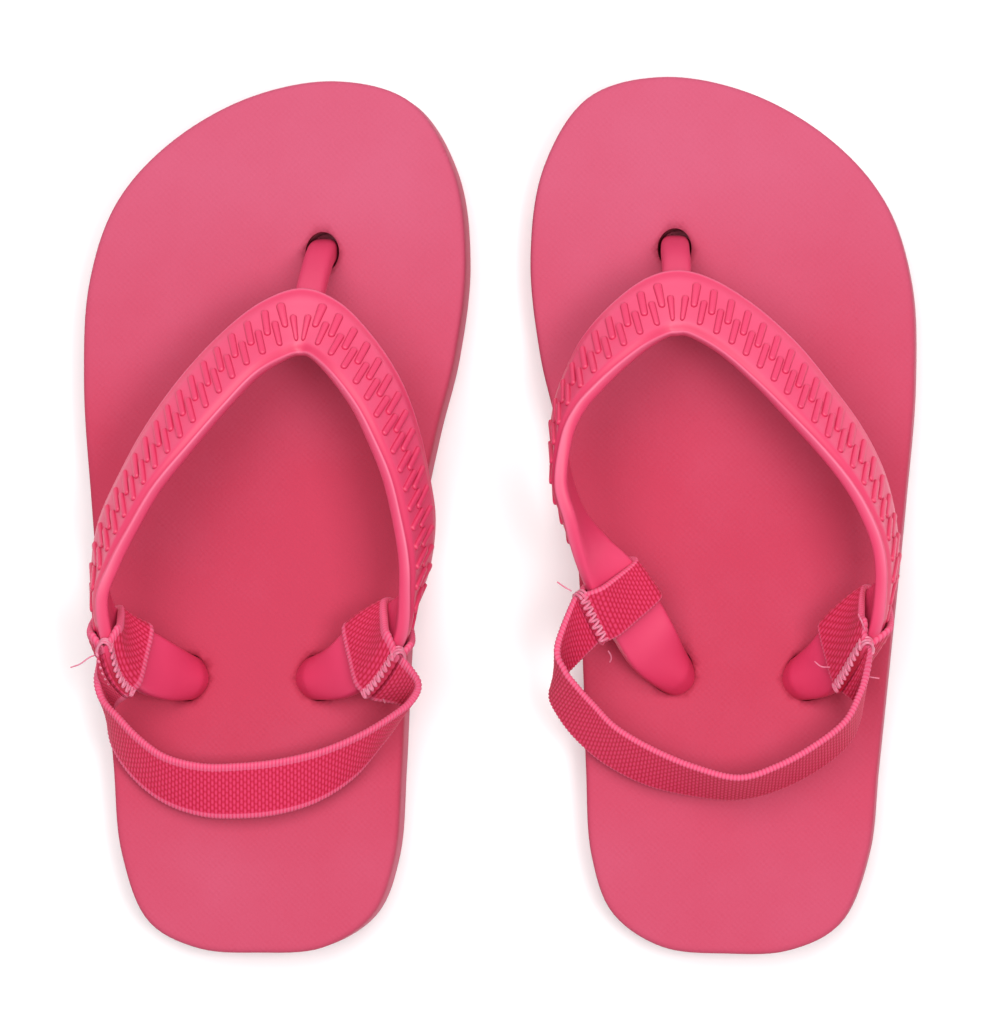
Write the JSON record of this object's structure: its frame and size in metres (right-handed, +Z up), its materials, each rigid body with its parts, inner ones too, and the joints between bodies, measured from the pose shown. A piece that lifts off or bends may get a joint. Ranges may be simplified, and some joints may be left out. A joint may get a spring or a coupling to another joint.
{
  "type": "flip flops",
  "caption": "Toddler flip flops with laminated foam soles, moulded V straps plugged through the sole, and elastic heel bands looped round the strap arms.",
  "frame": {"origin": "middle of the pair's bounding box, on the ground", "axes": "+X towards the right shoe, +Y towards the toes, +Z up"},
  "size_m": [0.1516, 0.159, 0.0401],
  "materials": {
    "foam_footbed": "matte foam, fine woven emboss",
    "foam_outsole": "matte foam",
    "pvc_strap": "satin soft plastic",
    "elastic_webbing": "woven elastic",
    "sewing_thread": "polyester thread"
  },
  "bodies": {
    "left_shoe": {"left_outsole": "foam_outsole", "left_footbed": "foam_footbed", "left_thong_strap": "pvc_strap", "left_heel_loop_lateral": "elastic_webbing", "left_heel_loop_medial": "elastic_webbing", "left_stitching_lateral": "sewing_thread", "left_stitching_medial": "sewing_thread"},
    "left_heel_band": {"left_heel_band": "elastic_webbing"},
    "right_shoe": {"right_outsole": "foam_outsole", "right_footbed": "foam_footbed", "right_thong_strap": "pvc_strap", "right_heel_loop_lateral": "elastic_webbing", "right_heel_loop_medial": "elastic_webbing", "right_stitching_lateral": "sewing_thread", "right_stitching_medial": "sewing_thread"},
    "right_heel_band": {"right_heel_band": "elastic_webbing"}
  },
  "joints": [
    {"name": "right_shoe_slide", "type": "slide", "parent": "left_shoe", "child": "right_shoe", "axis": [1, 0, 0], "range_m": [0, 0.12]},
    {"name": "left_heel_band_swing", "type": "hinge", "parent": "left_shoe", "child": "left_heel_band", "pos_m": [-0.04287, -0.02754, 0.02715], "axis": [-0.9998, 0.0106, 0.0149], "range_deg": [0, 90]},
    {"name": "right_heel_band_swing", "type": "hinge", "parent": "right_shoe", "child": "right_heel_band", "pos_m": [0.04233, -0.02318, 0.02775], "axis": [-0.9886, 0.1501, 0.0105], "range_deg": [0, 90]}
  ]
}
